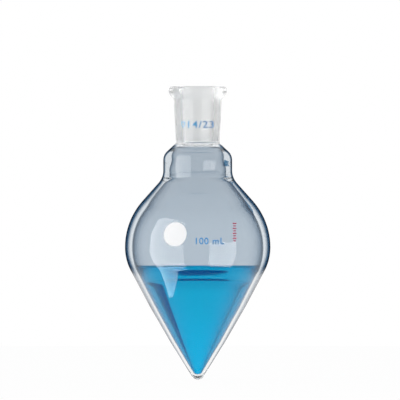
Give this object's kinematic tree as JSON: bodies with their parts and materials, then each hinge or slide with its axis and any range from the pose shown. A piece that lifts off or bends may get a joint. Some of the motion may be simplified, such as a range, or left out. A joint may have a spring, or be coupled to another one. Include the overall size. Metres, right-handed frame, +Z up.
{
  "type": "pear-shaped flask",
  "caption": "Pear-shaped laboratory flask of clear glass with a ground conical socket, a beaded rim, a rounded point and some blue liquid inside.",
  "frame": {"origin": "centre of the ground socket's mouth plane, which is also the top of the bead", "axes": "+Z up the flask's axis, out of the socket; -Y towards the viewer, with the printed marks on that side"},
  "size_m": [0.0615, 0.0614, 0.1238],
  "materials": {
    "clear_glass": "clear polished glass, ground matt inside the socket",
    "blue_liquid": "clear blue water",
    "white_enamel": "fired matt white enamel"
  },
  "bodies": {
    "root": {"flask": "clear_glass", "liquid": "blue_liquid", "writing_spot": "white_enamel"}
  },
  "joints": []
}
